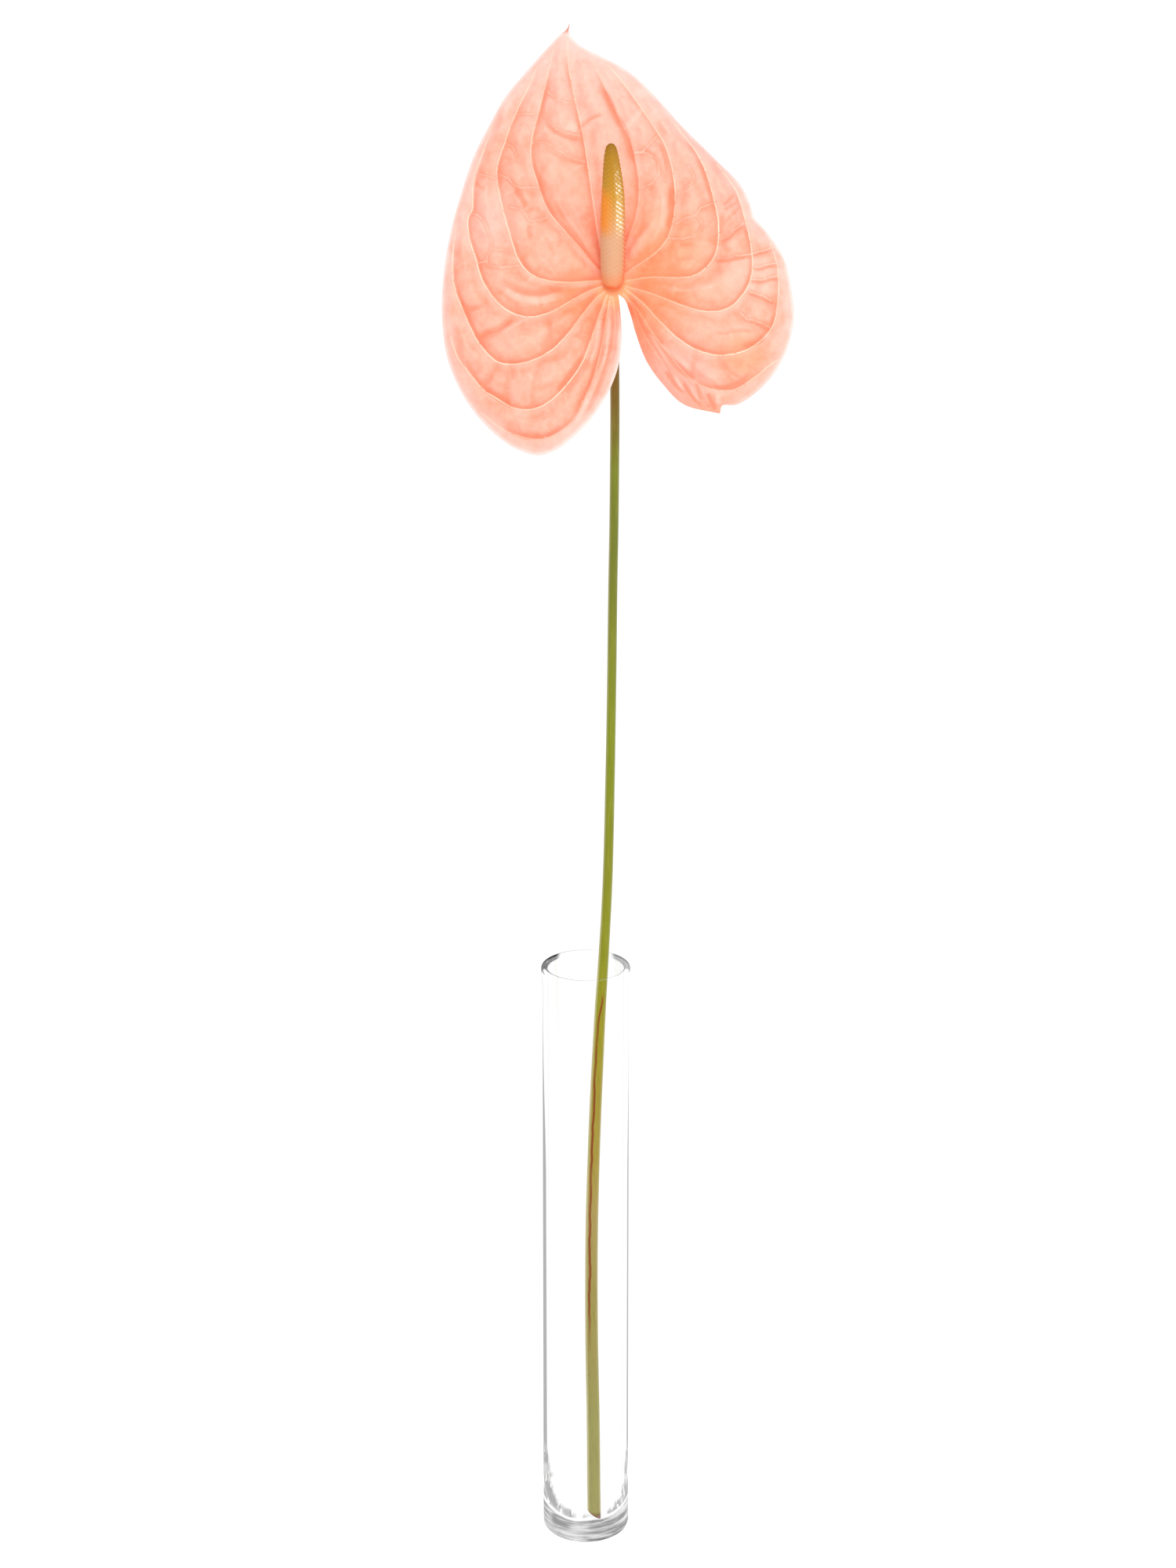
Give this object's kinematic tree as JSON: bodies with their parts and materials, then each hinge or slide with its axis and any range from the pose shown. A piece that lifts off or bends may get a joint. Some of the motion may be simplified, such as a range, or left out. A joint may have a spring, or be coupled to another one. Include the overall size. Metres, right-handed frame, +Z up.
{
  "type": "cut anthurium stem in a glass cylinder vase",
  "caption": "Single cut anthurium with a heart-shaped veined spathe and upright spadix, leaning in a slim clear glass cylinder vase.",
  "frame": {"origin": "centre of the vase's flat underside, on the surface it stands on", "axes": "+Z up along the vase's axis; the spathe's face and the spadix look towards -Y; +X is to the right of someone facing the flower"},
  "size_m": [0.1595, 0.0862, 0.7369],
  "materials": {
    "glass": "clear, colourless, fire-polished glass",
    "stem": "smooth olive-green plant stem with a soft sheen, browner at the flower and at the foot",
    "spathe": "waxy peach-pink bract with cream veins and a paler margin",
    "spadix": "close-set glossy florets, cream below, gold in the middle, olive at the tip"
  },
  "bodies": {
    "root": {"vase": "glass", "stem": "stem", "spathe": "spathe", "spadix": "spadix"}
  },
  "joints": []
}
